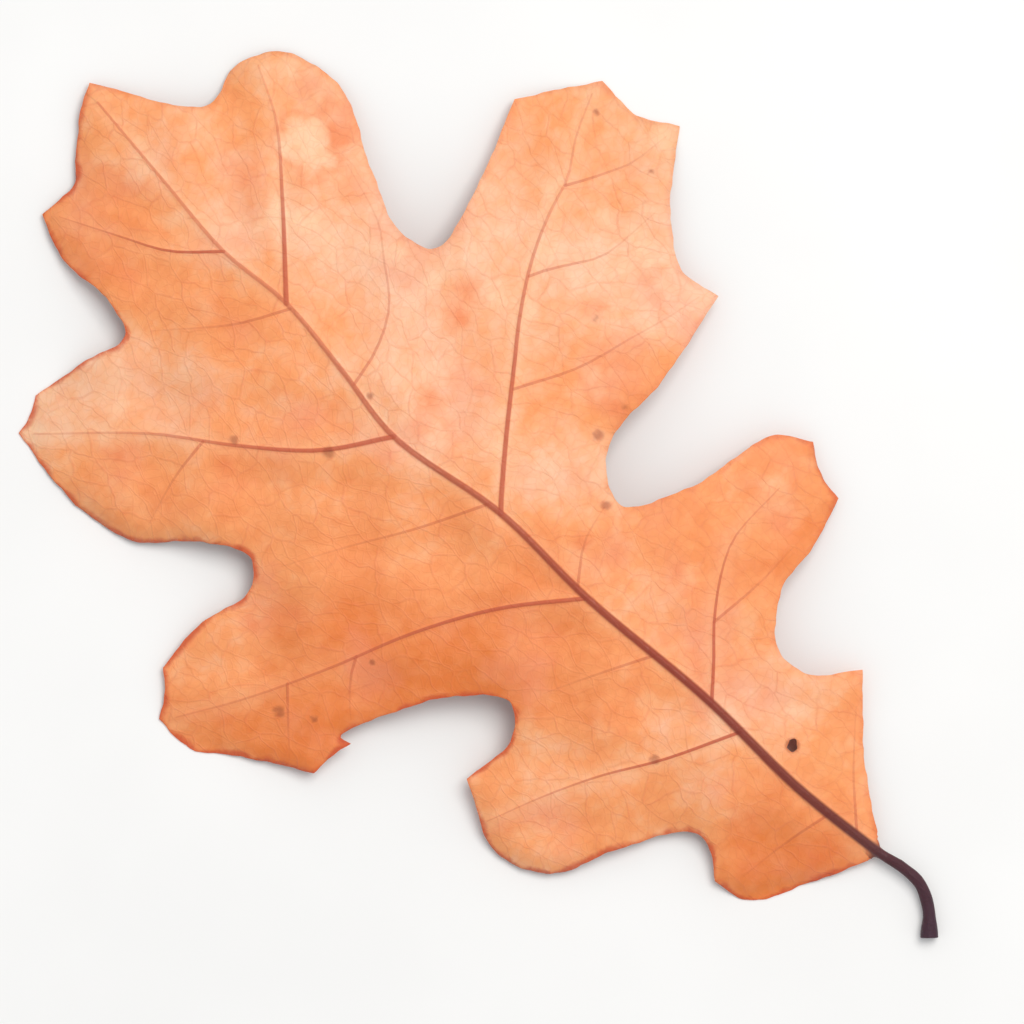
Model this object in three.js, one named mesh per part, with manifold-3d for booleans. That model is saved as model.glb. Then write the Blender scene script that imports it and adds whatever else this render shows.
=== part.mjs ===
// One autumn oak leaf, as picked: a thin lobed blade with its veins and its short stalk, all one piece.
// It lies on a flat surface with the paler side up, arched over it, and rests on the tips of its
// three widest lobes and on the end of its stalk.
// Millimetres. +Y runs from the stalk to the point, +X to the right of it, and +Z is up.
// The numbers below measure from the foot of the blade, where the stalk begins. At the end the leaf
// is moved so that the origin is under the middle of its bounding box, on the surface it lies on.

import * as THREE from 'three';
import { mergeVertices } from 'three/addons/utils/BufferGeometryUtils.js';
import Module from 'manifold-3d';

const BLADE_THICKNESS = 0.4;
const BLADE_LENGTH = 164; // from the foot of the blade to its point
const HALF_WIDTH = 59; // from the midrib to the widest lobe tip

// How the blade lies
const FOOT_TO_CREST = 9; // the midrib's rise from the foot to the middle of the blade
const CREST_TO_POINT = 9.3; // and its fall from there to the point
const SIDE_DROP = 9.8; // how far the widest lobes fall from the midrib
const SIDE_CURVE = 1.3; // 1 is a straight fold along the midrib, 2 a round barrel
const RIPPLE = 1; // the widest lobes sink, and the hollows between them lift, by this much
const RIGHT_RIPPLE = { trough: 45, length: 55 }; // a trough lies on each large lobe
const LEFT_RIPPLE = { trough: 42, length: 45 };

// Widths of the veins, at their start and at their end
const MIDRIB_WIDTHS = [1.8, 0.7];
const SIDE_VEIN_WIDTHS = [1.1, 0.6];
const FINE_VEIN_WIDTHS = [0.8, 0.5];
const VEIN_LIFT = 0.1; // how far a vein's middle lies above the blade's middle
const VEIN_STEP = 6; // spacing of the rings along a vein
const VEIN_SIDES = 6;
const MIDRIB_SIDES = 8;

// The stalk
const STALK_WIDTHS = [1.8, 2.1];
const STALK_STEP = 1.5;
const STALK_FOOT_WIDTH = 2.8; // the swollen end, where it parted from the twig
const STALK_FOOT_LENGTH = 3;

const INSECT_HOLE = { x: 2.7, y: 21, length: 1.9, width: 1.4 };

const GRID_STEP = 5.5; // spacing of the facets over the blade
const EDGE_STEP = 2.8; // spacing of the facets round its edge
const TALL = 60; // height of the cutters, well over that of the leaf

// The blade's edge, anticlockwise from the foot. A row starts at a sharp tooth or notch, and the edge
// curves through the row's other points to the start of the next row.
const EDGE_ROWS = [
  // right side, foot to point
  [[0, 0], [8, 11]],
  [[18, 21], [12, 26.5], [11.5, 32], [18, 37.8], [27, 39]],
  [[34, 41], [34.8, 45.5]],
  [[37.5, 49.5], [34, 54.5], [20.5, 58], [11, 64], [16, 71], [29, 72]],
  [[43.5, 74.5], [42.6, 81], [48, 88.5]],
  [[58, 96], [54.8, 102]],
  [[55, 109], [50, 112.5]],
  [
    [44, 116.5], [30.5, 111.5], [20, 109.6], [18, 115], [22.5, 126], [27.5, 136],
    [25.8, 146], [19.5, 150], [12, 149],
  ],
  // the point
  [[2.5, 164], [-1.5, 162]],
  [[-7.5, 157.5], [-10, 155.3]],
  // left side, point to foot
  [[-16.5, 155.7], [-19.2, 149], [-19, 140], [-21, 134.3], [-28.5, 136.2]],
  [[-36.7, 138], [-39, 136.7]],
  [[-42.5, 136], [-43.7, 129.5]],
  [[-44.5, 122.5], [-42.6, 113], [-35, 104.5], [-32.2, 98], [-36, 95], [-45, 97]],
  [[-53, 96.5], [-55.3, 94]],
  [[-59, 91.7], [-59.3, 88]],
  [[-58.8, 84.5], [-54, 78]],
  [[-49, 69.5], [-45.5, 69.3]],
  [[-42, 68.5], [-42.3, 70.4], [-37, 68.5], [-26, 62], [-21.3, 55.5], [-25.5, 51.7]],
  [[-34, 52.5], [-36, 48.7], [-39, 42.5], [-36, 34], [-25.5, 28.7], [-16.6, 22.5], [-17, 19]],
  [[-19.8, 15.3], [-18.6, 9.8], [-10, 4.7]],
];

// The routes of the veins, from the foot or from the vein that they leave
const MIDRIB = [
  [0, 0], [-1.3, 16], [-1, 35], [-2.3, 58], [-2, 76], [-4.6, 95],
  [-2.8, 107], [-1.2, 120], [-2, 132], [-0.5, 146], [0.5, 158],
];
const SIDE_VEINS = [
  [[-1, 34], [8, 41.5], [18, 47], [28, 47]],
  [[-2, 76], [10.5, 86], [25.5, 97], [40.5, 102.5], [51, 105]],
  [[-1.2, 120], [9.5, 131], [17.5, 140], [20.5, 145]],
  [[-2, 132], [-7.5, 138], [-11, 145], [-14.5, 152]],
  [[-4.6, 95], [-13.5, 101.5], [-21.5, 111], [-29, 121.5], [-39, 132]],
  [[-2.3, 58], [-12.5, 66.5], [-23.5, 73], [-36, 78.5], [-48, 84.5], [-55, 88.5]],
  [[-1.1, 28], [-12, 33.5], [-20, 38.5], [-28, 42.5], [-35, 45]],
];
const FINE_VEINS = [
  [[-0.2, 5], [6, 11.5], [13.5, 18]],
  [[12.5, 87.5], [22, 82.5], [33, 78.8], [40, 77]],
  [[-3, 105], [3.5, 106], [10, 109.5], [15, 116]],
  [[-2.1, 78], [-12.5, 83.5], [-20.5, 88.5], [-29, 93.5]],
  [[-0.9, 10], [-7.5, 11.5], [-14.5, 12.5]],
];
// The stalk leaves the foot, sinks to the surface and hooks to the left. Heights are above the foot.
const STALK = [
  { place: [0, 1], height: 0.1 },
  { place: [0.8, -3.5], height: -0.1 },
  { place: [0.8, -7], height: -0.4 },
  { place: [-1, -10.5], height: -0.7 },
  { place: [-4, -13.5], height: -0.65 },
];

const wasm = await Module();
wasm.setup();

// Height of the blade's middle surface above the foot.
function bladeHeight(x, y) {
  const middle = BLADE_LENGTH / 2;
  const drop = y > middle ? CREST_TO_POINT : FOOT_TO_CREST;
  const arch = drop * ((y - middle) / middle) ** 2;
  const aside = Math.abs(x) / HALF_WIDTH;
  const { trough, length } = x > 0 ? RIGHT_RIPPLE : LEFT_RIPPLE;
  const ripple = RIPPLE * Math.cos((2 * Math.PI * (y - trough)) / length) * aside ** 2;
  return FOOT_TO_CREST - arch - SIDE_DROP * aside ** SIDE_CURVE - ripple;
}

// A smooth curve through places [x, y]. The height of each is given by a function of x, y and its number.
function smoothRoute(places, height) {
  const points = places.map(([x, y], n) => new THREE.Vector3(x, y, height(x, y, n)));
  return new THREE.CatmullRomCurve3(points, false, 'centripetal');
}

function solidOf(geometry) {
  geometry.deleteAttribute('normal');
  geometry.deleteAttribute('uv');
  const welded = mergeVertices(geometry);
  return new wasm.Manifold(new wasm.Mesh({
    numProp: 3,
    vertProperties: new Float32Array(welded.attributes.position.array),
    triVerts: new Uint32Array(welded.index.array),
  }));
}

function geometryOf(solid) {
  const { numProp, vertProperties, triVerts } = solid.getMesh();
  const geometry = new THREE.BufferGeometry();
  geometry.setAttribute('position', new THREE.BufferAttribute(vertProperties, numProp));
  geometry.setIndex(new THREE.BufferAttribute(triVerts, 1));
  geometry.computeVertexNormals();
  return geometry;
}

// The outline seen from above, with its teeth sharp and its lobes and hollows round.
function bladeOutline() {
  const corners = [];
  EDGE_ROWS.forEach((row, n) => {
    const nextTooth = EDGE_ROWS[(n + 1) % EDGE_ROWS.length][0];
    const run = smoothRoute([...row, nextTooth], () => 0);
    const steps = Math.max(2, Math.round(run.getLength() / EDGE_STEP));
    corners.push(...run.getSpacedPoints(steps).slice(0, -1));
  });
  return new THREE.Shape(corners.map(({ x, y }) => new THREE.Vector2(x, y)));
}

// A flat slab of small facets, bent to the blade's lie.
function bentSlab() {
  const width = 2 * HALF_WIDTH + 2 * GRID_STEP;
  const length = BLADE_LENGTH + 2 * GRID_STEP;
  const across = Math.round(width / GRID_STEP);
  const along = Math.round(length / GRID_STEP);
  const slab = new THREE.BoxGeometry(width, length, BLADE_THICKNESS, across, along, 1);
  slab.translate(0, BLADE_LENGTH / 2, 0);
  const position = slab.attributes.position;
  for (let n = 0; n < position.count; n += 1) {
    const lie = bladeHeight(position.getX(n), position.getY(n));
    position.setZ(n, position.getZ(n) + lie);
  }
  return solidOf(slab);
}

function blade() {
  const cutter = new THREE.ExtrudeGeometry(bladeOutline(), { depth: TALL, bevelEnabled: false });
  cutter.translate(0, 0, -TALL / 2);
  const hole = new THREE.CylinderGeometry(0.5, 0.5, TALL, 10);
  hole.rotateX(Math.PI / 2);
  hole.scale(INSECT_HOLE.length, INSECT_HOLE.width, 1);
  hole.translate(INSECT_HOLE.x, INSECT_HOLE.y, 0);
  return bentSlab().intersect(solidOf(cutter)).subtract(solidOf(hole));
}

// A round rod along a curve. Its width at a distance from the start is given by a function.
function rodAlong(route, widthAt, step, sides) {
  const length = route.getLength();
  const rings = Math.max(2, Math.round(length / step));
  const rod = new THREE.CylinderGeometry(0.5, 0.5, 1, sides, rings);
  const position = rod.attributes.position;
  for (let n = 0; n < position.count; n += 1) {
    const along = THREE.MathUtils.clamp(position.getY(n) + 0.5, 0, 1);
    const width = widthAt(along * length, length);
    const middle = route.getPointAt(along);
    const ahead = route.getTangentAt(along);
    const aside = new THREE.Vector3(ahead.y, -ahead.x, 0).normalize();
    const up = new THREE.Vector3().crossVectors(aside, ahead);
    middle.addScaledVector(aside, position.getX(n) * width);
    middle.addScaledVector(up, position.getZ(n) * width);
    position.setXYZ(n, middle.x, middle.y, middle.z);
  }
  return solidOf(rod);
}

function vein(places, [startWidth, endWidth], sides) {
  const route = smoothRoute(places, (x, y) => bladeHeight(x, y) + VEIN_LIFT);
  const taper = (distance, length) => startWidth + ((endWidth - startWidth) * distance) / length;
  return rodAlong(route, taper, VEIN_STEP, sides);
}

// The stalk thickens slowly and then swells over its last few millimetres.
function stalk() {
  const places = STALK.map(({ place }) => place);
  const route = smoothRoute(places, (x, y, n) => STALK[n].height);
  const [startWidth, endWidth] = STALK_WIDTHS;
  const widthAt = (distance, length) => {
    const plain = startWidth + ((endWidth - startWidth) * distance) / length;
    const swelling = THREE.MathUtils.smoothstep(distance, length - STALK_FOOT_LENGTH, length);
    return THREE.MathUtils.lerp(plain, STALK_FOOT_WIDTH, swelling);
  };
  return rodAlong(route, widthAt, STALK_STEP, MIDRIB_SIDES);
}

function oakLeaf() {
  let leaf = blade();
  leaf = leaf.add(vein(MIDRIB, MIDRIB_WIDTHS, MIDRIB_SIDES));
  SIDE_VEINS.forEach((places) => {
    leaf = leaf.add(vein(places, SIDE_VEIN_WIDTHS, VEIN_SIDES));
  });
  FINE_VEINS.forEach((places) => {
    leaf = leaf.add(vein(places, FINE_VEIN_WIDTHS, VEIN_SIDES));
  });
  leaf = leaf.add(stalk());
  return geometryOf(leaf);
}

const driedLeaf = new THREE.MeshStandardMaterial({ color: 0xf2a56b, roughness: 0.7, metalness: 0 });
const leaf = new THREE.Mesh(oakLeaf(), driedLeaf);
leaf.name = 'oak_leaf';
leaf.geometry.computeBoundingBox();
const { min, max } = leaf.geometry.boundingBox;
leaf.position.set(-(min.x + max.x) / 2, -(min.y + max.y) / 2, -min.z);

const group = new THREE.Group();
group.add(leaf);

export default group;
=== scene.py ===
import math

import bpy
import numpy as np
from mathutils.kdtree import KDTree
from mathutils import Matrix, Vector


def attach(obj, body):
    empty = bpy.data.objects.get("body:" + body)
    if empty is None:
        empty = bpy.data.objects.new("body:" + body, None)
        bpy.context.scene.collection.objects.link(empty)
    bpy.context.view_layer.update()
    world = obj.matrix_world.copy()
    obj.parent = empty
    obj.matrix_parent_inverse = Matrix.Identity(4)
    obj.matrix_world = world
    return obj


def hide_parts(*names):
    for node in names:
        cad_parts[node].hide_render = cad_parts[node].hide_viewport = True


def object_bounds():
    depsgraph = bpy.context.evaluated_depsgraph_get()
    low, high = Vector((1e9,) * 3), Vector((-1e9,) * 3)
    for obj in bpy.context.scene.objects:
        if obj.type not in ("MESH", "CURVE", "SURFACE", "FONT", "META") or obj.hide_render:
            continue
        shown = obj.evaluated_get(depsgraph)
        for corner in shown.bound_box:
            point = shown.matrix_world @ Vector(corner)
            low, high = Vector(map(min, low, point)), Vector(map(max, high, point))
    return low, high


# One autumn oak leaf, as picked, lying on its lobe tips with its paler side up.
# The leaf's measures are millimetres from the foot of its blade, where the stalk starts:
# y runs up the leaf, x to its right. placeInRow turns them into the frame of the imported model.

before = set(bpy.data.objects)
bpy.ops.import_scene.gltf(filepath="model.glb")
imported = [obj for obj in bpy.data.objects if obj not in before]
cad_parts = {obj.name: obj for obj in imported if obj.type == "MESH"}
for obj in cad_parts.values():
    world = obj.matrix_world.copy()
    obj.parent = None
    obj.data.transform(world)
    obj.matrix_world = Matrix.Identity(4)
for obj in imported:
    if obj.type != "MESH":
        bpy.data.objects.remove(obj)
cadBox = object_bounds()
farAway = 20.0  # distances are kept only this far, in millimetres or half widths of a vein
print("frame loaded")

leafBlade = {
    "length": 164,  # foot to point
    "halfWidth": 59,  # midrib to the widest lobe tip
    "thickness": [0.2, 0.36], "thickening": 12,  # at the edge, and from this far inside it
    "grid": 0.76,  # size of the mesh's squares, before those near veins are split
    "edgeStep": 0.45,
    "edgeWander": 0.07,  # how far the edge strays from a smooth line
    "edgeWaves": [[0.7, 0, 1], [1.63, 1, 0.8], [3.1, 2, 0.4]],  # pace, start and share of each wave
    "footToCrest": 9, "crestToPoint": 9.3,  # rise and fall of the midrib
    "sideDrop": 9.8, "sideCurve": 1.3,  # fall of the widest lobes from the midrib
    "ripple": 1, "rightRipple": [45, 55], "leftRipple": [42, 45],  # place of a trough, and spacing
    "sag": 0.6, "sagReach": 5.5,  # the blade sinks a little between its veins
    "cockle": 0.42, "cockleReach": 5,  # slow waves that a dried leaf gets away from its veins
    # pace across, pace up, start and share of each wave
    "waves": [[0.23, 0.08, 1, 1], [-0.12, 0.25, 2, 1], [0.33, -0.3, 0, 0.7], [0.5, 0.41, 4, 0.4]],
    "floor": -2.05, "floorSoftness": 0.3,  # nothing of the blade's middle goes below this
    "curl": 0.45, "curlReach": 3.2,  # the edge turns down over this width
    # where the edge turns down more: x, y, reach and depth
    "curledPlaces": [[-40, 112, 12, 1.8], [-37, 38, 13, 1.2], [56, 104, 10, 1.2], [-52, 74, 12, 1.1],
                     [27, 142, 11, 0.8], [36, 45, 9, 0.8], [-17, 9, 9, 1.3], [-38, 137, 8, 0.8]],
    "hole": {"place": [2.7, 21], "size": [2.0, 1.45], "turn": 35},
    # each row starts at a sharp tooth or notch and curves on to the start of the next row
    "edge": [
        [[0, 0], [8, 11]],
        [[18, 21], [12, 26.5], [11.5, 32], [18, 37.8], [27, 39]],
        [[34, 41], [34.8, 45.5]],
        [[37.5, 49.5], [34, 54.5], [20.5, 58], [11, 64], [16, 71], [29, 72]],
        [[43.5, 74.5], [42.6, 81], [48, 88.5]],
        [[58, 96], [54.8, 102]],
        [[55, 109], [50, 112.5]],
        [[44, 116.5], [30.5, 111.5], [20, 109.6], [18, 115], [22.5, 126], [27.5, 136],
         [25.8, 146], [19.5, 150], [12, 149]],
        [[2.5, 164], [-1.5, 162]],
        [[-7.5, 157.5], [-10, 155.3]],
        [[-16.5, 155.7], [-19.2, 149], [-19, 140], [-21, 134.3], [-28.5, 136.2]],
        [[-36.7, 138], [-39, 136.7]],
        [[-42.5, 136], [-43.7, 129.5]],
        [[-44.5, 122.5], [-42.6, 113], [-35, 104.5], [-32.2, 98], [-36, 95], [-45, 97]],
        [[-53, 96.5], [-55.3, 94]],
        [[-59, 91.7], [-59.3, 88]],
        [[-58.8, 84.5], [-54, 78]],
        [[-49, 69.5], [-45.5, 69.3]],
        [[-42, 68.5], [-42.3, 70.4], [-37, 68.5], [-26, 62], [-21.3, 55.5], [-25.5, 51.7]],
        [[-34, 52.5], [-36, 48.7], [-39, 42.5], [-36, 34], [-25.5, 28.7], [-16.6, 22.5], [-17, 19]],
        [[-19.8, 15.3], [-18.6, 9.8], [-10, 4.7]],
    ],
}

# width, rise on the upper side and sink on the lower side are given at a vein's start and at its end
leafVeins = {
    "step": 2.4,  # between the points of a vein's line
    "slope": 1.5, "endStop": 3,  # reach of a vein's sides in half widths; past its end its colour stops
    "split": 1.7,  # mesh squares this near a main vein are split
    "splitAgain": 0.8, "splitMidribAgain": 1.12,  # and these once more
    "midrib": {
        "width": [1.7, 0.4], "rise": [0.75, 0.14], "sink": [0.12, 0.03], "blend": 0.7,
        "routes": [[[0, 0], [-1.3, 16], [-1, 35], [-2.3, 58], [-2, 76], [-4.6, 95],
                    [-2.8, 107], [-1.2, 120], [-2, 132], [-0.5, 146], [1.2, 161]]],
    },
    "side": {
        "width": [0.85, 0.3], "rise": [0.34, 0.08], "sink": [0.07, 0.02], "blend": 0.6,
        "shares": [0.7, 1, 1, 0.62, 0.95, 0.85, 0.68],  # how strong each one is, as a share of these
        "routes": [
            [[-1, 34], [4, 38.3], [8, 42], [13.7, 46], [19, 48.3], [29, 48.5]],
            [[-2, 75.8], [-0.3, 77.3], [7.3, 83.4], [15, 89.2], [21, 93.7], [28.4, 98.2],
             [35.3, 101.1], [41, 102.8], [46.1, 106], [52.5, 108.7]],
            [[-1.2, 120], [9.5, 131], [17.5, 140], [21.5, 147.5]],
            [[-2, 132], [-7.5, 138], [-11, 145], [-15, 153.5]],
            [[-4.6, 95], [-13.5, 101.5], [-21.5, 111], [-29, 121.5], [-41, 134.2]],
            [[-2.3, 58], [-12.5, 66.5], [-23.5, 73], [-36, 78.5], [-48, 84.5], [-57, 90]],
            [[-1.1, 28], [-12, 33.5], [-20, 38.5], [-28, 42.5], [-36.5, 46]],
        ],
    },
    "fine": {
        "width": [0.5, 0.22], "rise": [0.13, 0.04], "sink": [0.02, 0], "blend": 0.65,
        "routes": [
            [[-0.2, 5], [6, 11.5], [13.5, 18]],
            [[12.6, 87], [21.6, 82.2], [30.4, 79.5], [36.2, 77.7], [41.5, 76.5]],
            [[26.3, 96.8], [28.7, 95.6], [32.8, 92.9], [36, 91], [46, 89.8]],
            [[39.8, 102.2], [42.5, 100.6], [45.6, 99], [49, 97.4], [55.5, 96.4]],
            [[-3, 104.5], [3, 105.7], [8.9, 108.7], [13.4, 114.1], [16.7, 118.3], [20, 128]],
            [[-2.3, 60], [3.5, 64], [9.3, 65.4]],
            [[-2.1, 78], [-12.5, 83.5], [-20.5, 88.5], [-30, 94]],
            [[-0.9, 10], [-7.5, 11.5], [-16.5, 12.8]],
            [[-1.4, 119], [-8.6, 123.4], [-18, 132]],
            [[-32, 76.8], [-34, 75.8], [-37, 73.5], [-39.5, 70.8]],
            [[-1.6, 45], [-9, 49], [-17, 53]],
            [[8, 42], [17, 41], [24, 41]],
            [[-42, 81.4], [-46, 77.5], [-50, 73.5]],
            [[-24.5, 115], [-31, 114.5], [-39, 112.5]],
        ],
    },
}


def pickOnly(piece):
    bpy.ops.object.select_all(action="DESELECT")
    piece.select_set(True)
    bpy.context.view_layer.objects.active = piece


def editFaces(piece, mask):
    # goes into edit mode with just these faces selected
    pickOnly(piece)
    bpy.ops.object.mode_set(mode="EDIT")
    bpy.ops.mesh.select_mode(type="FACE")
    bpy.ops.mesh.select_all(action="DESELECT")
    bpy.ops.object.mode_set(mode="OBJECT")
    piece.data.polygons.foreach_set("select", mask)
    bpy.ops.object.mode_set(mode="EDIT")


def facePlaces(piece, kind):
    values = np.empty(len(piece.data.polygons) * 3)
    piece.data.polygons.foreach_get(kind, values)
    return values.reshape(-1, 3)


def places(piece):
    co = np.empty(len(piece.data.vertices) * 3)
    piece.data.vertices.foreach_get("co", co)
    return co.reshape(-1, 3)


def setPlaces(piece, co):
    piece.data.vertices.foreach_set("co", np.ascontiguousarray(co, float).ravel())
    piece.data.update()


def between(pair, share):
    return pair[0] + (pair[1] - pair[0]) * share


def smoothLine(points, step):
    # a smooth curve through the points, given back in even steps
    p = np.array(points, float)
    p = np.vstack([2 * p[0] - p[1], p, 2 * p[-1] - p[-2]])
    t = np.linspace(0, 1, 40, endpoint=False)[:, None]
    dense = []
    for a, b, c, d in zip(p, p[1:], p[2:], p[3:]):
        ab, bc, cd = [np.linalg.norm(gap) ** 0.5 for gap in (b - a, c - b, d - c)]
        leave = bc * ((b - a) / ab - (c - a) / (ab + bc) + (c - b) / bc)
        arrive = bc * ((c - b) / bc - (d - b) / (bc + cd) + (d - c) / cd)
        dense.append(
            (2 * t**3 - 3 * t**2 + 1) * b + (t**3 - 2 * t**2 + t) * leave
            + (3 * t**2 - 2 * t**3) * c + (t**3 - t**2) * arrive
        )
    dense = np.vstack([*dense, p[-2:-1]])
    run = np.r_[0, np.cumsum(np.linalg.norm(np.diff(dense, axis=0), axis=1))]
    even = np.linspace(0, run[-1], max(2, round(run[-1] / step)) + 1)
    return np.column_stack([np.interp(even, run, side) for side in dense.T])


def bladeEdge():
    # the outline seen from above: sharp at the teeth, a little uneven between them
    rows = leafBlade["edge"]
    runs = []
    for row, following in zip(rows, rows[1:] + rows[:1]):
        run = smoothLine(row + following[:1], leafBlade["edgeStep"])
        ahead = np.gradient(run, axis=0)
        aside = np.column_stack([ahead[:, 1], -ahead[:, 0]]) / np.linalg.norm(ahead, axis=1)[:, None]
        s = np.arange(len(run)) * leafBlade["edgeStep"] + 3 * run[0, 1]
        stray = sum(share * np.sin(s * pace + start) for pace, start, share in leafBlade["edgeWaves"])
        fade = np.sin(np.linspace(0, math.pi, len(run))) ** 0.5
        runs.append((run + aside * (leafBlade["edgeWander"] * stray * fade)[:, None])[:-1])
    return np.vstack(runs)


edgeLine = bladeEdge()
# what brings the leaf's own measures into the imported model's frame
shift = np.array([cadBox[0][0] * 1000 - edgeLine[:, 0].min(),
                  cadBox[1][1] * 1000 - edgeLine[:, 1].max()])


def nearestOn(line, x, y):
    # distance to a line, share of the way along it, and which side of it
    best = np.full(len(x), 1e9)
    along = np.zeros(len(x))
    side = np.ones(len(x))
    for n, ((ax, ay), (bx, by)) in enumerate(zip(line, line[1:])):
        ux, uy = bx - ax, by - ay
        t = np.clip(((x - ax) * ux + (y - ay) * uy) / (ux * ux + uy * uy), 0, 1)
        gap = np.hypot(x - ax - t * ux, y - ay - t * uy)
        nearer = gap < best
        best[nearer] = gap[nearer]
        along[nearer] = (n + t[nearer]) / (len(line) - 1)
        side[nearer] = np.where(ux * (y - ay) - uy * (x - ax) < 0, -1, 1)[nearer]
    return best, along, side


veinLines = {name: [smoothLine(route, leafVeins["step"]) for route in leafVeins[name]["routes"]]
             for name in ("midrib", "side", "fine")}


def surveyVeins(x, y):
    # relief of all veins together, and for each kind how near its nearest vein is, in half widths
    found = {"rise": np.zeros(len(x)), "sink": np.zeros(len(x)), "mainGap": np.full(len(x), 99.0)}
    for name, lines in veinLines.items():
        kind = leafVeins[name]
        near, signed, fade = np.full(len(x), farAway), np.full(len(x), farAway), np.zeros(len(x))
        for line, share in zip(lines, kind.get("shares", [1] * len(lines))):
            gap, along, side = nearestOn(line, x, y)
            half = share * between(kind["width"], along) / 2
            bell = np.clip(1 - (gap / np.maximum(half * leafVeins["slope"], kind["blend"])) ** 2, 0, 1) ** 2
            found["rise"] = np.maximum(found["rise"], share * between(kind["rise"], along) * bell)
            found["sink"] = np.maximum(found["sink"], share * between(kind["sink"], along) * bell)
            ratio = np.clip(gap / half, 0, farAway)
            nearer = ratio < near
            pastEnd = (along == 0) | (along == 1)
            near[nearer] = (ratio * np.where(pastEnd, leafVeins["endStop"], 1))[nearer]
            signed[nearer] = (ratio * side)[nearer]
            fade[nearer] = along[nearer]
            if name != "fine":
                found["mainGap"] = np.minimum(found["mainGap"], gap)
        found[name] = (near, signed, fade)
    return found


def edgeDistance(x, y):
    tree = KDTree(len(edgeLine))
    for n, (px, py) in enumerate(edgeLine):
        tree.insert((px, py, 0), n)
    tree.balance()
    return np.array([tree.find((px, py, 0))[2] for px, py in zip(x, y)])


def bladeMiddle(x, y, mainGap, inward):
    # height of the middle of the blade's thickness above the foot
    middle = leafBlade["length"] / 2
    aside = np.abs(x) / leafBlade["halfWidth"]
    drop = np.where(y > middle, leafBlade["crestToPoint"], leafBlade["footToCrest"])
    wave = [np.cos(2 * math.pi * (y - leafBlade[name][0]) / leafBlade[name][1])
            for name in ("rightRipple", "leftRipple")]
    lie = leafBlade["footToCrest"] - drop * ((y - middle) / middle) ** 2
    lie -= leafBlade["sideDrop"] * aside ** leafBlade["sideCurve"]
    lie -= leafBlade["ripple"] * np.where(x > 0, *wave) * aside**2
    lie -= leafBlade["sag"] * (1 - np.exp(-((mainGap / leafBlade["sagReach"]) ** 2)))
    waves = sum(share * np.sin(x * across + y * up + start)
                for across, up, start, share in leafBlade["waves"])
    lie += leafBlade["cockle"] * waves * np.clip(mainGap / leafBlade["cockleReach"], 0, 1)
    turn = np.full(len(x), float(leafBlade["curl"]))
    for px, py, reach, depth in leafBlade["curledPlaces"]:
        turn += depth * np.exp(-((x - px) ** 2 + (y - py) ** 2) / reach**2)
    lie -= turn * np.clip(1 - inward / leafBlade["curlReach"], 0, 1) ** 2
    # what would go into the surface below is bent up along it instead
    soft = leafBlade["floorSoftness"]
    above = (lie - leafBlade["floor"]) / soft
    bent = np.log1p(np.exp(np.clip(above, -30, 20)))
    return leafBlade["floor"] + soft * np.where(above > 20, above, bent)


def edgeCutter():
    # a flat curve round the outline, given depth and turned into a solid
    curve = bpy.data.curves.new("edgeCutter", "CURVE")
    curve.dimensions = "2D"
    curve.fill_mode = "BOTH"
    curve.extrude = 5
    spline = curve.splines.new("POLY")
    spline.points.add(len(edgeLine) - 1)
    for point, (x, y) in zip(spline.points, edgeLine):
        point.co = (x, y, 0, 1)
    spline.use_cyclic_u = True
    cutter = bpy.data.objects.new("edgeCutter", curve)
    bpy.context.scene.collection.objects.link(cutter)
    pickOnly(cutter)
    bpy.ops.object.convert(target="MESH")
    cutter = bpy.context.object
    bpy.ops.object.mode_set(mode="EDIT")
    bpy.ops.mesh.select_all(action="SELECT")
    bpy.ops.mesh.remove_doubles(threshold=0.001)
    bpy.ops.mesh.normals_make_consistent(inside=False)
    bpy.ops.object.mode_set(mode="OBJECT")
    return cutter


def holeCutter():
    hole = leafBlade["hole"]
    bpy.ops.object.select_all(action="DESELECT")
    bpy.ops.mesh.primitive_cylinder_add(vertices=18, radius=0.5, depth=10)
    cutter = bpy.context.object
    cutter.scale = (*hole["size"], 1)
    cutter.rotation_euler.z = math.radians(hole["turn"])
    cutter.location = (*hole["place"], 0)
    bpy.ops.object.transform_apply(location=True, rotation=True, scale=True)
    co = places(cutter)  # a nibbled rim, not a drilled one
    around = np.arctan2(co[:, 1] - hole["place"][1], co[:, 0] - hole["place"][0])
    swell = 1 + 0.1 * np.sin(3 * around) + 0.07 * np.sin(5 * around + 1)
    co[:, :2] = hole["place"] + (co[:, :2] - hole["place"]) * swell[:, None]
    setPlaces(cutter, co)
    return cutter


def cutWith(piece, cutter, operation):
    pickOnly(piece)
    cut = piece.modifiers.new(operation, "BOOLEAN")
    cut.operation = operation
    cut.object = cutter
    cut.solver = "EXACT"
    bpy.ops.object.modifier_apply(modifier=cut.name)
    bpy.data.objects.remove(cutter)


def splitNearVeins(piece, name, limit, bothSides):
    x, y = facePlaces(piece, "center")[:, :2].T
    gap = np.min([nearestOn(line, x, y)[0] for line in veinLines[name]], axis=0)
    up = facePlaces(piece, "normal")[:, 2]
    editFaces(piece, (gap < limit) & ((np.abs(up) if bothSides else up) > 0.9))
    bpy.ops.mesh.subdivide(number_cuts=1)
    bpy.ops.object.mode_set(mode="OBJECT")


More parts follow.
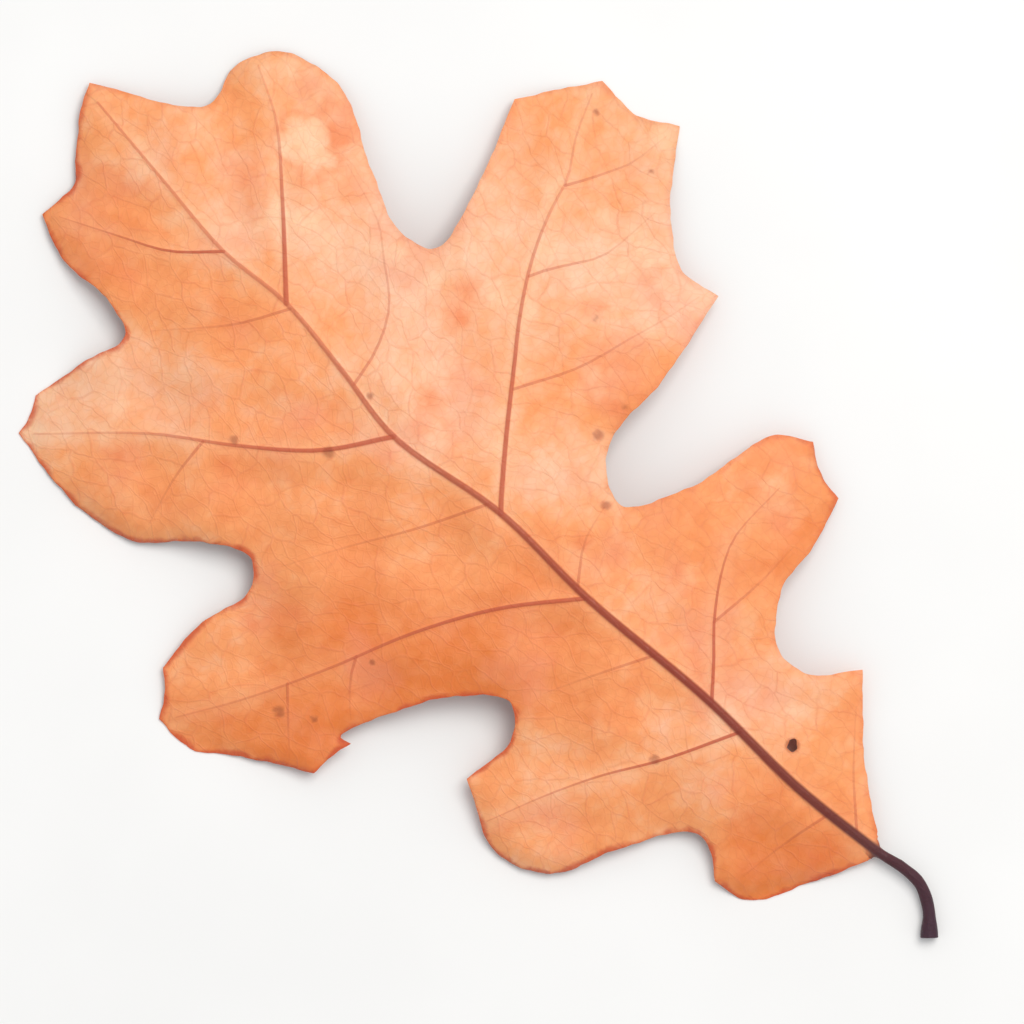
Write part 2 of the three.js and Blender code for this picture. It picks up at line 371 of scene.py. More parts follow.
def makeBlade():
    # a fine flat sheet with thickness, cut to the leaf's outline
    low, high = edgeLine.min(axis=0) - 2, edgeLine.max(axis=0) + 2
    across, along = [round(side / leafBlade["grid"]) for side in high - low]
    bpy.ops.object.select_all(action="DESELECT")
    bpy.ops.mesh.primitive_grid_add(x_subdivisions=across, y_subdivisions=along, size=1)
    sheet = bpy.context.object
    sheet.name = "oakLeaf"
    sheet.scale = (*(high - low), 1)
    sheet.location = (*((high + low) / 2), -0.5)
    bpy.ops.object.transform_apply(location=True, rotation=True, scale=True)
    bpy.ops.object.mode_set(mode="EDIT")
    bpy.ops.mesh.select_all(action="SELECT")
    bpy.ops.mesh.extrude_region_move(TRANSFORM_OT_translate={"value": (0, 0, 1)})
    bpy.ops.mesh.select_all(action="SELECT")
    bpy.ops.mesh.normals_make_consistent(inside=False)
    bpy.ops.object.mode_set(mode="OBJECT")
    cutWith(sheet, edgeCutter(), "INTERSECT")
    cutWith(sheet, holeCutter(), "DIFFERENCE")
    bpy.ops.object.mode_set(mode="EDIT")
    bpy.ops.mesh.select_all(action="SELECT")
    bpy.ops.mesh.remove_doubles(threshold=0.06)
    bpy.ops.object.mode_set(mode="OBJECT")
    splitNearVeins(sheet, "midrib", leafVeins["split"], True)
    splitNearVeins(sheet, "side", leafVeins["split"], False)
    splitNearVeins(sheet, "fine", leafVeins["splitAgain"], False)
    splitNearVeins(sheet, "midrib", leafVeins["splitMidribAgain"], False)
    splitNearVeins(sheet, "side", leafVeins["splitAgain"], False)
    bpy.ops.object.mode_set(mode="EDIT")
    bpy.ops.mesh.select_all(action="SELECT")
    bpy.ops.mesh.quads_convert_to_tris(quad_method="BEAUTY", ngon_method="BEAUTY")
    bpy.ops.object.mode_set(mode="OBJECT")
    return sheet


def shapeBlade(sheet):
    # lays the sheet as the leaf lies, and raises its veins
    co = places(sheet)
    x, y = co[:, 0], co[:, 1]
    found = surveyVeins(x, y)
    inward = edgeDistance(x, y)
    half = between(leafBlade["thickness"], np.clip(inward / leafBlade["thickening"], 0, 1)) / 2
    shown = co[:, 2] > 0
    co[:, 2] = bladeMiddle(x, y, found["mainGap"], inward)
    co[:, 2] += np.where(shown, half + found["rise"], found["sink"] - half)
    setPlaces(sheet, co)
    print("blade shaped:", len(co), "vertices")


leafStalk = {
    # x, y and height of its middle, from inside the blade to the end
    "route": [[-0.4, 6, 1.2], [-0.1, 3, 0.62], [0, 0.5, 0.12], [0.8, -3.5, -0.1],
              [0.8, -7, -0.4], [-1, -10.5, -0.7], [-4, -13.5, -0.65]],
    "width": [0.5, 1.55, 2.0],  # inside the blade, at its foot, and before the swollen end
    "footAt": 5.5,  # the blade's foot, along the stalk from its start
    "end": 2.75, "endLength": 3.2,  # the swollen end, where it parted from the twig
    "sides": 20,
    "rim": 0.14, "rimRise": 0.1,  # the end's rounded rim
    "scar": 0.3, "scarRings": [0.2, 0.22, 0.3],  # depth of the scar's hollow, and its rings
    "join": 1.5, "joinReach": [2, 4],  # where the join is eased, and how far across and along
}


def makeStalk():
    route = smoothLine(leafStalk["route"], 0.5)
    run = np.r_[0, np.cumsum(np.linalg.norm(np.diff(route, axis=0), axis=1))]
    width = np.interp(run, [0, leafStalk["footAt"], run[-1]], leafStalk["width"])
    swell = np.clip((run - run[-1] + leafStalk["endLength"]) / leafStalk["endLength"], 0, 1)
    width += (leafStalk["end"] - width) * (3 * swell**2 - 2 * swell**3)
    width *= 1 + 0.025 * np.sin(run * 1.7)
    curve = bpy.data.curves.new("stalk", "CURVE")
    curve.dimensions = "3D"
    curve.bevel_depth = 0.5
    curve.bevel_resolution = (leafStalk["sides"] - 4) // 2
    curve.use_fill_caps = True
    spline = curve.splines.new("POLY")
    spline.points.add(len(route) - 1)
    for point, place, size in zip(spline.points, route, width):
        point.co = (*place, 1)
        point.radius = size
    stalk = bpy.data.objects.new("stalk", curve)
    bpy.context.scene.collection.objects.link(stalk)
    pickOnly(stalk)
    bpy.ops.object.convert(target="MESH")
    stalk = bpy.context.object
    bpy.ops.object.mode_set(mode="EDIT")
    bpy.ops.mesh.select_all(action="SELECT")
    bpy.ops.mesh.remove_doubles(threshold=0.001)
    bpy.ops.mesh.normals_make_consistent(inside=False)
    bpy.ops.object.mode_set(mode="OBJECT")
    # the end gets a rounded rim with a shallow scar inside it
    out = (route[-1] - route[-2]) / np.linalg.norm(route[-1] - route[-2])
    facing = facePlaces(stalk, "normal") @ out > 0.95
    atEnd = np.linalg.norm(facePlaces(stalk, "center") - route[-1], axis=1) < leafStalk["end"] / 2
    editFaces(stalk, facing & atEnd)
    bpy.ops.mesh.dissolve_faces()
    bpy.ops.mesh.inset(thickness=leafStalk["rim"])
    bpy.ops.transform.translate(value=tuple(out * leafStalk["rimRise"]))
    lip, slope, inner = leafStalk["scarRings"]
    bpy.ops.mesh.inset(thickness=lip)
    bpy.ops.mesh.inset(thickness=slope)
    bpy.ops.transform.translate(value=tuple(-out * leafStalk["scar"]))
    bpy.ops.mesh.inset(thickness=inner)
    bpy.ops.transform.translate(value=tuple(out * leafStalk["scar"] / 2))
    bpy.ops.object.mode_set(mode="OBJECT")
    return stalk


def blendFoot(leaf):
    # eases the join of stalk and blade
    co = places(leaf)
    pickOnly(leaf)
    bpy.ops.object.mode_set(mode="EDIT")
    bpy.ops.mesh.select_mode(type="VERT")
    bpy.ops.mesh.select_all(action="DESELECT")
    bpy.ops.object.mode_set(mode="OBJECT")
    across, along = leafStalk["joinReach"]
    atJoin = (np.abs(co[:, 1] - leafStalk["join"]) < along) & (np.abs(co[:, 0]) < across)
    leaf.data.vertices.foreach_set("select", atJoin)
    bpy.ops.object.mode_set(mode="EDIT")
    bpy.ops.mesh.remove_doubles(threshold=0.03)
    bpy.ops.mesh.vertices_smooth(factor=0.5, repeat=4)
    bpy.ops.mesh.select_all(action="SELECT")
    bpy.ops.mesh.normals_make_consistent(inside=False)
    bpy.ops.object.mode_set(mode="OBJECT")


leafMarks = {
    # tints of the upper side: x, y, and 0 for deep orange to 1 for pale peach; partly the leaf's own
    # colour, partly painted light and shade (paler right half facing the light, darker curled lower-left
    # lobes and foot)
    "tintsAndShade": [
        [4, 12, 0.42], [-8, 12, 0.1], [9, 22, 0.5], [7, 30, 0.95], [-10, 30, 0.62], [-20, 30, 0.5],
        [8, 38, 0.35], [-30, 46, 0.58], [6, 50, 0.6], [26, 46, 0.25], [-10, 50, 0.38],
        [17, 54, 0.25], [25, 53, 0.6], [9, 60, 0.5], [-16, 62, 0.08], [0, 66, 0.3], [-24, 66, 0.05],
        [8, 73, 0.95], [-12, 78, 0.5], [22, 79, 0.3], [-32, 78, 0], [-40, 79, 0.3], [-46, 74, 0],
        [-56, 86, 0.1], [-49, 91, 0.65], [-30, 86, 0.18], [40, 84, 1], [24, 87, 0.85], [7, 86, 0.6],
        [-32, 95, 0.5], [-22, 94, 0.45], [14, 96, 0.55], [8, 95, 1], [46, 100, 0.65],
        [24, 102, 0.82], [7, 101, 1], [-1, 103, 0.6], [-26, 103, 0.4], [-10, 110, 0.52],
        [0, 118, 0.5], [12, 119, 0.97], [-38, 120, 0.35], [-24, 127, 0.72], [20, 127, 0.7],
        [-10, 132, 0.3], [1, 134, 0.85], [-33, 134, 0.8], [16, 142, 0.6], [8, 143, 0.5],
        [-13, 143, 0.3], [4, 151, 0.75], [0, 159, 0.4],
    ],
    "tintReach": 7.5,
    # warm smudges on the upper side: x, y, reach and strength
    "smudges": [
        [15, 100.5, 3.2, 0.85], [18.5, 101.5, 3, 0.8], [2.5, 95, 3.4, 0.7], [30, 87, 3.2, 0.6],
        [-34.5, 88, 3.6, 0.8], [-39, 91.5, 2.2, 0.6], [-24.5, 110, 1.8, 0.9], [-35, 123, 1.6, 0.7],
        [-35, 135, 1.6, 0.6], [-52.5, 85, 2.6, 0.7], [3.5, 64.3, 2.0, 0.8], [24, 136, 2.2, 0.7],
        [22.3, 131.3, 2.6, 0.95], [20, 128.5, 3, 0.5], [-14, 141, 5, 0.5], [21, 73.5, 2.2, 0.7],
        [13, 15, 3, 0.4], [-10, 19, 4, 0.6], [-6, 7, 4, 0.8], [-10, 57, 4, 0.4], [26, 44, 4, 0.4],
    ],
    # dark specks: x, y and size
    "specks": [
        [-12.9, 100.3, 0.75], [-21.2, 111.8, 0.6], [-45.9, 79.5, 0.8], [-12.9, 34.4, 0.65],
        [28.5, 85.4, 0.6], [50, 94.5, 0.5], [16.2, 73.4, 0.8], [22, 73.2, 0.6], [-2.6, 101.6, 0.5],
        [-31, 74.5, 0.4], [50.9, 106.3, 0.45], [-43, 75, 0.5], [9.5, 65.3, 0.7],
    ],
    # the edge is red-brown, redder on the left, fading out across the midrib, and round one lobe's tip; the
    # extra red on the left is partly painted shade, on the side away from the light
    "edgeRed": 0.2, "leftRedAndShade": 0.7, "leftFade": 12, "lobeRed": 0.5, "redLobe": [37, 44, 10],
    "stalkReach": 1.6, "stalkFade": [5, -3],  # the stalk's colour starts and is full at these heights
    "leftFlow": 41.3,  # the net of small veins on the left is out of step with the right by this
}


def near(x, y, place):
    return np.exp(-((x - place[0]) ** 2 + (y - place[1]) ** 2) / place[2] ** 2)


def addMarks(leaf):
    # what the finish needs to know of each spot, kept on the mesh
    co = places(leaf)
    x, y, z = co.T
    found = surveyVeins(x, y)
    inward = edgeDistance(x, y)
    aside = x - np.interp(y, *np.array(leafVeins["midrib"]["routes"][0], float)[:, ::-1].T)
    toStalk = nearestOn(smoothLine(np.array(leafStalk["route"])[:, :2], 0.5), x, y)[0]
    stalkTop, stalkFull = leafMarks["stalkFade"]
    onStalk = np.clip((stalkTop - y) / (stalkTop - stalkFull), 0, 1)
    holeX, holeY = leafBlade["hole"]["place"]
    # the tints hold painted light and shade as well as the leaf's own colour
    tintsAndShade = [tintAndShade for px, py, tintAndShade in leafMarks["tintsAndShade"]]
    reach = leafMarks["tintReach"]
    weights = [1e-9 + near(x, y, (px, py, reach)) for px, py, tintAndShade in leafMarks["tintsAndShade"]]
    smudges = [strength * near(x, y, place) for *place, strength in leafMarks["smudges"]]
    specks = [near(x, y, (px, py, 2 * size)) for px, py, size in leafMarks["specks"]]
    # the left edge's extra red is partly painted shade, on the side away from the light
    left = np.clip(0.5 - aside / leafMarks["leftFade"], 0, 1)
    marks = {
        "upper": z > bladeMiddle(x, y, found["mainGap"], inward),
        "inward": np.clip(inward, 0, farAway),
        "mainGap": np.clip(found["mainGap"], 0, farAway),
        "holeGap": np.clip(np.hypot(x - holeX, y - holeY), 0, farAway),
        "stalk": np.where(toStalk < leafMarks["stalkReach"], onStalk, 0),
        "washAndShade": sum(weight * tintAndShade for weight, tintAndShade in zip(weights, tintsAndShade)) / sum(weights),
        "smudge": np.max(smudges, axis=0),
        "speck": np.max(specks, axis=0),
        "rosyAndShade": leafMarks["edgeRed"] + leafMarks["leftRedAndShade"] * left
        + leafMarks["lobeRed"] * near(x, y, leafMarks["redLobe"]),
    }
    for name in veinLines:
        marks[name + "Near"], marks[name + "Side"], marks[name + "Along"] = found[name]
    for name, values in marks.items():
        kept = leaf.data.attributes.new(name, "FLOAT", "POINT")
        kept.data.foreach_set("value", values.astype(np.float32))
    # where the net of small veins runs: across from the midrib and up
    upBlade = y + np.where(aside > 0, 0, leafMarks["leftFlow"])
    flow = np.column_stack([np.abs(aside), upBlade, np.zeros(len(x))])
    kept = leaf.data.attributes.new("flow", "FLOAT_VECTOR", "POINT")
    kept.data.foreach_set("vector", flow.astype(np.float32).ravel())


def placeInRow(leaf):
    co = places(leaf)
    co[:, :2] += shift
    co[:, 2] -= co[:, 2].min()
    setPlaces(leaf, co * 0.001)


leaf = makeBlade()
shapeBlade(leaf)
cutWith(leaf, makeStalk(), "UNION")
blendFoot(leaf)
addMarks(leaf)
placeInRow(leaf)
print("leaf made:", sum(len(face.vertices) - 2 for face in leaf.data.polygons), "triangles")


leafFinish = {
    "colours": {
        # upper side, from deep orange to pale peach
        "washes": [(0.0, (0.90, 0.49, 0.225)), (0.5, (0.985, 0.635, 0.405)), (1.0, (0.99, 0.785, 0.655))],
        "cream": (1.0, 0.83, 0.68), "bleached": (0.99, 0.86, 0.72), "blush": (0.94, 0.58, 0.44),
        "smudge": (0.90, 0.47, 0.25), "warm": (0.965, 0.59, 0.39),
        "margin": (0.78, 0.30, 0.16), "net": (0.86, 0.46, 0.32), "speck": (0.55, 0.23, 0.13),
        # midrib from the stalk's end to the leaf's point, as shares of the leaf's length
        "midrib": [(0.0, (0.24, 0.13, 0.19)), (0.07, (0.30, 0.14, 0.17)), (0.13, (0.42, 0.15, 0.13)),
                   (0.3, (0.58, 0.22, 0.15)), (0.6, (0.72, 0.33, 0.22)), (1.0, (0.88, 0.50, 0.34))],
        "vein": (0.74, 0.33, 0.22),
        "lower": (0.96, 0.50, 0.16), "lowerDeep": (0.86, 0.37, 0.10), "lowerVein": (0.70, 0.27, 0.10),
    },
    # upper side's mottling: size of its spots, and how far it shifts the tint either way
    "mottle": {"size": 9, "shift": 0.17}, "fineMottle": {"size": 2.2, "shift": 0.13},
    # clouds of another colour: size, the noise values where they start and are full, and strength
    "blush": {"size": 12, "range": [0.5, 0.74], "strength": 0.55},
    "pale": {"size": 6.5, "range": [0.52, 0.75], "strength": 0.7},
    "lowerClouds": {"size": 14, "range": [0.35, 0.7], "strength": 1.0},
    # smudges and specks are broken up by noise: its size and how it changes them
    "smudge": {"size": 3, "change": [0.65, 1.3], "range": [0.18, 0.95], "strength": 0.85},
    "speck": {"size": 1.3, "change": [0.85, 1.1], "range": [0.5, 1.0], "strength": 0.55},
    "veinHighlight": {"range": [0.5, 2.6], "strength": 0.34},  # a painted highlight: paler along the main veins, as where their raised sides catch the light
    "holeRim": {"range": [0.85, 1.4], "strength": 0.55},
    # small veins: size of a cell in millimetres, share of it that its line takes, colour and height
    "net": {"size": 3.0, "line": 0.055, "colour": 0.22, "lowerColour": 0.3, "height": 0.8},
    "netLean": -40, "netStretch": 0.5, "netStray": 2.6, "cellTint": 0.1,
    "netFade": {"size": 7, "change": [0.4, 1.0]},  # the net is fainter in places
    "fineNet": {"size": 1.3, "line": 0.12, "colour": 0.1, "height": 0.4},
    "grain": {"size": 0.45, "height": 0.3},
    "cockle": {"size": 2.4, "height": 1.0},  # crinkles between the small veins
    "relief": 0.00012, "reliefStrength": 0.5, "lowerRelief": -0.7,  # the net is sunk in the lower side
    # bleached patch: its place, how its outline strays, and the ring round it
    "patch": {"place": [18, 134.2], "stretch": (1.1, 0.8, 0), "straySize": 4.2, "stray": 2.4,
              "range": [0.6, 4.8], "strength": 0.52,
              "ringStart": [2.8, 4.6], "ringEnd": [4.2, 6.4], "ringStrength": 0.42},
    "ends": [-89, 89],  # the stalk's end and the leaf's point, in the imported model's frame
    # the redder edge, partly painted shade on the left: how far in it goes, how that strays, and strength
    "rim": {"size": 4, "change": [-0.35, 0.45], "range": [0.05, 0.95], "strength": 0.9},
    "veinEdge": [0.6, 1.25],  # a vein's colour fades between these, in half widths
    # where along a vein its colour starts to fade, and its strength before and at the end
    "fine": {"fadeFrom": 0, "strength": [0.5, 0.12]},
    "side": {"fadeFrom": 0.2, "strength": [0.85, 0.25]},
    "midrib": {"fadeFrom": 0.3, "strength": [0.97, 0.6], "paleBelow": [0.1, 0.5], "paleStrength": 0.75},
    "stalkStart": [0.25, 0.62],
    "roughness": [0.53, 0.7], "roughSize": 4, "midribGloss": 0.12, "specular": 0.35,
    "glow": 0.35, "glowColour": (1.0, 0.5, 0.3), "glowDepth": 0.0006,  # light that seeps through
    "sheen": 0.06, "sheenRoughness": 0.5,
    "smoothAngle": 50,
}


def inLight(shade):
    # screen colour to the linear one that the shader wants
    return (*[c / 12.92 if c <= 0.04045 else ((c + 0.055) / 1.055) ** 2.4 for c in shade], 1)


def newFinish(name):
    finish = bpy.data.materials.new(name)
    finish.use_nodes = True
    return finish, finish.node_tree, finish.node_tree.nodes["Principled BSDF"]


def feed(tree, socket, value):
    # a socket takes another node's output, a colour, or a plain number
    if hasattr(value, "is_linked"):
        tree.links.new(value, socket)
    elif socket.type == "RGBA":
        socket.default_value = inLight(value)
    else:
        socket.default_value = value


def mark(tree, name, output="Fac"):
    node = tree.nodes.new("ShaderNodeAttribute")
    node.attribute_name = name
    return node.outputs[output]


def calc(tree, operation, first, second=0.0, clamp=False):
    node = tree.nodes.new("ShaderNodeMath")
    node.operation = operation
    node.use_clamp = clamp
    feed(tree, node.inputs[0], first)
    feed(tree, node.inputs[1], second)
    return node.outputs[0]


def vector(tree, operation, first, second=None, scale=None, output="Vector"):
    node = tree.nodes.new("ShaderNodeVectorMath")
    node.operation = operation
    feed(tree, node.inputs[0], first)
    if second is not None:
        feed(tree, node.inputs[1], second)
    if scale is not None:
        feed(tree, node.inputs["Scale"], scale)
    return node.outputs[output]


def spread(tree, value, low, high, start=0.0, end=1.0, kind="SMOOTHSTEP"):
    # start below low, end above high, and a smooth change between them
    node = tree.nodes.new("ShaderNodeMapRange")
    node.interpolation_type = kind
    for socket, given in zip(node.inputs, (value, low, high, start, end)):
        feed(tree, socket, given)
    return node.outputs["Result"]


def blend(tree, share, first, second):
    node = tree.nodes.new("ShaderNodeMix")
    node.data_type = "RGBA"
    node.clamp_factor = True
    feed(tree, node.inputs["Factor"], share)
    start, end = [socket for socket in node.inputs if socket.type == "RGBA"]
    feed(tree, start, first)
    feed(tree, end, second)
    return [socket for socket in node.outputs if socket.type == "RGBA"][0]


def stepsOf(tree, value, steps):
    node = tree.nodes.new("ShaderNodeValToRGB")
    stops = node.color_ramp.elements
    while len(stops) < len(steps):
        stops.new(0.5)
    for stop, (place, shade) in zip(stops, steps):
        stop.position = place
    for stop, (place, shade) in zip(stops, steps):
        stop.color = inLight(shade)
    feed(tree, node.inputs["Fac"], value)
    return node.outputs["Color"]


def noise(tree, place, size, detail=2.0, output="Fac"):
    node = tree.nodes.new("ShaderNodeTexNoise")
    node.inputs["Scale"].default_value = 1 / size
    node.inputs["Detail"].default_value = detail
    feed(tree, node.inputs["Vector"], place)
    return node.outputs[output]


def cells(tree, place, size, feature="F1", output="Distance"):
    node = tree.nodes.new("ShaderNodeTexVoronoi")
    node.voronoi_dimensions = "2D"
    node.feature = feature
    node.inputs["Scale"].default_value = 1 / size
    feed(tree, node.inputs["Vector"], place)
    return node.outputs[output]


def times(tree, first, second):
    return calc(tree, "MULTIPLY", first, second)


def stray(tree, place, size, detail, low, high, least=0.25, most=0.75):
    # noise made into an even spread of values
    return spread(tree, noise(tree, place, size, detail), least, most, low, high, "LINEAR")


def clouds(tree, place, kind, detail):
    return spread(tree, noise(tree, place, kind["size"], detail), *kind["range"], 0, kind["strength"])


def fading(tree, value, kind):
    # full strength up to the range's start, and nothing past its end
    return spread(tree, value, *kind["range"], kind["strength"], 0)


def veinShare(tree, name):
    # 1 on the vein's middle and 0 beside it; the first value guards where two veins' sides meet
    guard = calc(tree, "SUBTRACT", mark(tree, name + "Near"), 2.5)
    ratio = calc(tree, "MAXIMUM", calc(tree, "ABSOLUTE", mark(tree, name + "Side")), guard)
    return spread(tree, ratio, *leafFinish["veinEdge"], 1, 0)


def smallVeins(tree):
    # long cells that lean away from the midrib, and finer ones inside them
    net, fineNet = leafFinish["net"], leafFinish["fineNet"]
    flow = mark(tree, "flow", "Vector")
    wander = vector(tree, "SUBTRACT", noise(tree, flow, 5, 2, "Color"), (0.5, 0.5, 0.5))
    flow = vector(tree, "ADD", flow, vector(tree, "SCALE", wander, scale=leafFinish["netStray"]))
    lean = tree.nodes.new("ShaderNodeMapping")
    lean.inputs["Rotation"].default_value = (0, 0, math.radians(leafFinish["netLean"]))
    lean.inputs["Scale"].default_value = (1.0, leafFinish["netStretch"], 1.0)
    feed(tree, lean.inputs["Vector"], flow)
    toLine = cells(tree, lean.outputs[0], net["size"], "DISTANCE_TO_EDGE")
    toFineLine = cells(tree, flow, fineNet["size"], "DISTANCE_TO_EDGE")
    netLines = spread(tree, toLine, 0.0, net["line"], 1, 0)
    fineLines = spread(tree, toFineLine, 0.0, fineNet["line"], 1, 0)
    return flow, netLines, fineLines


def upperSide(tree, place, flow, netLines, fineLines):
    # listed tints, partly painted light and shade, then mottling from large to small
    c = leafFinish["colours"]
    broad, fine, smudge = leafFinish["mottle"], leafFinish["fineMottle"], leafFinish["smudge"]
    # the wash carries painted light and shade: paler where the blade faces the light, darker where it turns
    # away
    tintAndShade = mark(tree, "washAndShade")
    washAndShade = calc(tree, "ADD", tintAndShade, stray(tree, place, broad["size"], 4, -broad["shift"], broad["shift"]))
    washAndShade = calc(tree, "ADD", washAndShade, stray(tree, flow, fine["size"], 4, -fine["shift"], fine["shift"]), True)
    tone = stepsOf(tree, washAndShade, c["washes"])
    tone = blend(tree, clouds(tree, place, leafFinish["blush"], 5), tone, c["blush"])
    tone = blend(tree, times(tree, clouds(tree, place, leafFinish["pale"], 5), tintAndShade), tone, c["cream"])
    broken = stray(tree, place, smudge["size"], 4, *smudge["change"], 0.3, 0.7)
    blotchy = times(tree, mark(tree, "smudge"), broken)
    smudgeTone = blend(tree, washAndShade, c["smudge"], c["warm"])
    tone = blend(tree, spread(tree, blotchy, *smudge["range"], 0, smudge["strength"]), tone, smudgeTone)
    # painted highlight: cream beside the main veins
    veinHighlight = times(tree, fading(tree, mark(tree, "mainGap"), leafFinish["veinHighlight"]), tintAndShade)
    tone = blend(tree, veinHighlight, tone, c["cream"])
    perCell = cells(tree, flow, leafFinish["fineNet"]["size"], "F1", "Color")
    tone = blend(tree, spread(tree, perCell, 0, 1, 0, leafFinish["cellTint"], "LINEAR"), tone, c["smudge"])
    tone = addPatch(tree, place, tone, smudgeTone)
    netFade = leafFinish["netFade"]
    uneven = spread(tree, noise(tree, place, netFade["size"], 2), 0.35, 0.65, *netFade["change"])
    netShare = times(tree, times(tree, netLines, uneven), leafFinish["net"]["colour"])
    tone = blend(tree, netShare, tone, c["net"])
    return blend(tree, times(tree, fineLines, leafFinish["fineNet"]["colour"]), tone, c["net"])


def addPatch(tree, place, tone, ringTone):
    # a bleached patch with a darker ring
    patch = leafFinish["patch"]
    x, y = patch["place"] + shift
    offset = vector(tree, "SUBTRACT", place, (float(x), float(y), 0))
    offset = vector(tree, "MULTIPLY", offset, patch["stretch"])
    away = vector(tree, "LENGTH", offset, output="Value")
    uneven = stray(tree, place, patch["straySize"], 3, -patch["stray"], patch["stray"])
    away = calc(tree, "ADD", away, uneven)
    ringEnd = spread(tree, away, *patch["ringEnd"], patch["ringStrength"], 0)
    tone = blend(tree, times(tree, spread(tree, away, *patch["ringStart"]), ringEnd), tone, ringTone)
    return blend(tree, fading(tree, away, patch), tone, leafFinish["colours"]["bleached"])


def lowerSide(tree, place, netLines):
    # deeper and more even
    c = leafFinish["colours"]
    tone = blend(tree, clouds(tree, place, leafFinish["lowerClouds"], 4), c["lower"], c["lowerDeep"])
    return blend(tree, times(tree, netLines, leafFinish["net"]["lowerColour"]), tone, c["lowerVein"])


def addVeins(tree, place, upper, tone):
    # fine and side veins fade along their length, and the midrib changes colour from the stalk up
    c = leafFinish["colours"]
    for name in ("fine", "side"):
        kind = leafFinish[name]
        fade = spread(tree, mark(tree, name + "Along"), kind["fadeFrom"], 1, *kind["strength"])
        share = times(tree, veinShare(tree, name), fade)
        tone = blend(tree, share, tone, blend(tree, upper, c["lowerVein"], c["vein"]))
    midrib = leafFinish["midrib"]
    spot = tree.nodes.new("ShaderNodeSeparateXYZ")
    feed(tree, spot.inputs[0], place)
    upLeaf = spread(tree, spot.outputs["Y"], *leafFinish["ends"], kind="LINEAR")
    midribTone = stepsOf(tree, upLeaf, c["midrib"])
    pale = spread(tree, upLeaf, *midrib["paleBelow"], 0, midrib["paleStrength"])
    below = times(tree, calc(tree, "SUBTRACT", 1.0, upper), pale)
    midribTone = blend(tree, below, midribTone, c["lowerVein"])
    fade = spread(tree, upLeaf, midrib["fadeFrom"], 1, *midrib["strength"])
    midribShare = times(tree, veinShare(tree, "midrib"), fade)
    tone = blend(tree, midribShare, tone, midribTone)
    onStalk = spread(tree, mark(tree, "stalk"), *leafFinish["stalkStart"])
    return blend(tree, onStalk, tone, midribTone), midribShare


def driedLeafFinish():
    c = leafFinish["colours"]
    finish, tree, shader = newFinish("driedLeaf")
    texture = tree.nodes.new("ShaderNodeTexCoord")
    place = vector(tree, "SCALE", texture.outputs["Object"], scale=1000.0)  # millimetres
    upper = mark(tree, "upper")
    flow, netLines, fineLines = smallVeins(tree)
    tone = upperSide(tree, place, flow, netLines, fineLines)
    tone = blend(tree, upper, lowerSide(tree, place, netLines), tone)

    # a red-brown edge, partly painted shade on the left, veins, brown specks, and a brown rim round the
    # hole
    rim, speck = leafFinish["rim"], leafFinish["speck"]
    uneven = spread(tree, noise(tree, place, rim["size"], 3), 0.3, 0.7, *rim["change"])
    rimShare = fading(tree, calc(tree, "ADD", mark(tree, "inward"), uneven), rim)
    tone = blend(tree, times(tree, rimShare, mark(tree, "rosyAndShade")), tone, c["margin"])
    tone, midribShare = addVeins(tree, place, upper, tone)
    broken = spread(tree, noise(tree, place, speck["size"], 1), 0.3, 0.7, *speck["change"])
    broken = times(tree, mark(tree, "speck"), broken)
    speckShare = spread(tree, broken, *speck["range"], 0, speck["strength"])
    tone = blend(tree, times(tree, speckShare, upper), tone, c["speck"])
    tone = blend(tree, fading(tree, mark(tree, "holeGap"), leafFinish["holeRim"]), tone, c["speck"])
    feed(tree, shader.inputs["Base Color"], tone)

    dull = stray(tree, place, leafFinish["roughSize"], 3, *leafFinish["roughness"], 0.3, 0.7)
    gloss = times(tree, midribShare, leafFinish["midribGloss"])
    feed(tree, shader.inputs["Roughness"], calc(tree, "SUBTRACT", dull, gloss))
    shader.inputs["Specular IOR Level"].default_value = leafFinish["specular"]
    shader.inputs["Subsurface Weight"].default_value = leafFinish["glow"]
    shader.inputs["Subsurface Radius"].default_value = leafFinish["glowColour"]
    shader.inputs["Subsurface Scale"].default_value = leafFinish["glowDepth"]
    shader.inputs["Sheen Weight"].default_value = leafFinish["sheen"]
    shader.inputs["Sheen Roughness"].default_value = leafFinish["sheenRoughness"]

    # small veins stand up on the upper side and are sunk in the lower one
    height = calc(tree, "ADD", times(tree, netLines, leafFinish["net"]["height"]),
                  times(tree, fineLines, leafFinish["fineNet"]["height"]))
    height = times(tree, height, spread(tree, upper, 0, 1, leafFinish["lowerRelief"], 1.0, "LINEAR"))
    grain, cockle = leafFinish["grain"], leafFinish["cockle"]
    height = calc(tree, "ADD", height, times(tree, cells(tree, flow, grain["size"]), grain["height"]))
    crinkles = noise(tree, place, cockle["size"], 3)
    height = calc(tree, "ADD", height, times(tree, crinkles, cockle["height"]))
    bump = tree.nodes.new("ShaderNodeBump")
    bump.inputs["Strength"].default_value = leafFinish["reliefStrength"]
    bump.inputs["Distance"].default_value = leafFinish["relief"]
    feed(tree, bump.inputs["Height"], height)
    feed(tree, shader.inputs["Normal"], bump.outputs["Normal"])
    return finish


pickOnly(leaf)
bpy.ops.object.shade_smooth_by_angle(angle=math.radians(leafFinish["smoothAngle"]))
leaf.data.materials.clear()
leaf.data.materials.append(driedLeafFinish())
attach(leaf, "root")
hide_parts("oak_leaf")
print("leaf finished")


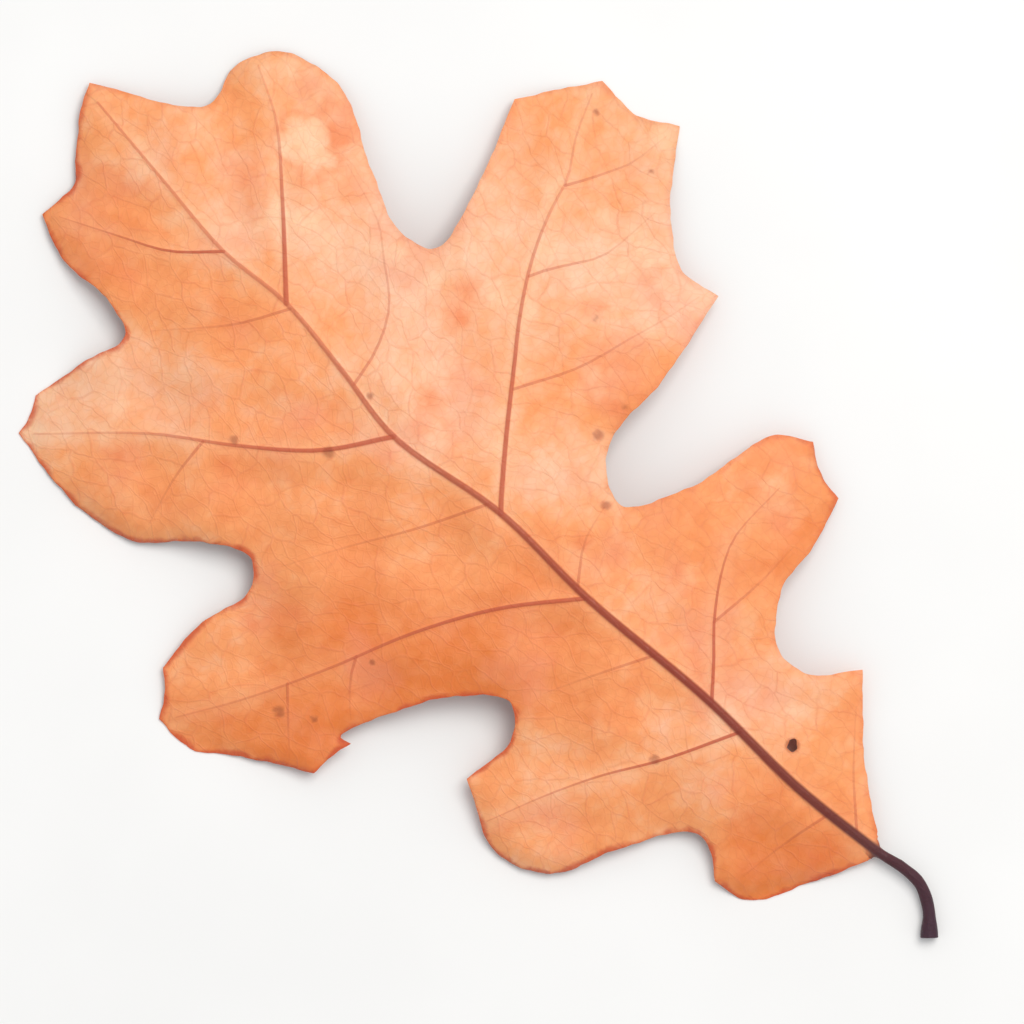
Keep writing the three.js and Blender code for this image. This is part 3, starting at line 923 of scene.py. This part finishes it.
studio = {
    "floor": (0.955, 0.955, 0.95), "floorSize": 4, "floorRoughness": 0.7,
    "floorCloud": 0.05, "floorShade": 0.985,  # size and depth of its faint shading
    "turn": -46.6,  # turns the view so that the leaf points up and to the left
    "viewWidth": 0.152, "distance": 1.1, "lens": 85,
    "keyPower": 8.75, "keySize": 0.7, "keyPlace": (0.5, 0.03, 1.1), "keyColour": (1.0, 0.985, 0.95),
    "skyStrength": 0.62, "skyColour": (0.97, 0.975, 1.0, 1),
}


def makeFloor():
    bpy.ops.object.select_all(action="DESELECT")
    bpy.ops.mesh.primitive_plane_add(size=studio["floorSize"])
    floor = bpy.context.object
    floor.name = "floor"
    finish, tree, shader = newFinish("paleTable")
    place = tree.nodes.new("ShaderNodeTexCoord").outputs["Object"]
    darker = tuple(v * studio["floorShade"] for v in studio["floor"])
    share = spread(tree, noise(tree, place, studio["floorCloud"], 3), 0.3, 0.7)
    feed(tree, shader.inputs["Base Color"], blend(tree, share, darker, studio["floor"]))
    shader.inputs["Roughness"].default_value = studio["floorRoughness"]
    floor.data.materials.append(finish)


def makeLights():
    world = bpy.data.worlds.new("studio")
    bpy.context.scene.world = world
    world.use_nodes = True
    sky = world.node_tree.nodes["Background"]
    sky.inputs["Color"].default_value = studio["skyColour"]
    sky.inputs["Strength"].default_value = studio["skyStrength"]
    bpy.ops.object.light_add(type="AREA", location=studio["keyPlace"])
    key = bpy.context.object
    key.name = "softKey"
    key.data.size = studio["keySize"]
    key.data.energy = studio["keyPower"]
    key.data.color = studio["keyColour"]
    key.rotation_euler = (-key.location).to_track_quat("-Z", "Y").to_euler()


def makeCamera():
    low, high = cadBox
    bpy.ops.object.camera_add(
        location=((low[0] + high[0]) / 2, (low[1] + high[1]) / 2, studio["distance"]),
        rotation=(0, 0, math.radians(studio["turn"])),
    )
    camera = bpy.context.object
    camera.data.lens = studio["lens"]
    camera.data.sensor_width = studio["lens"] * studio["viewWidth"] / studio["distance"]
    bpy.context.scene.camera = camera


makeFloor()
makeLights()
makeCamera()
bpy.context.scene.view_settings.view_transform = "Standard"

print("scene ready")
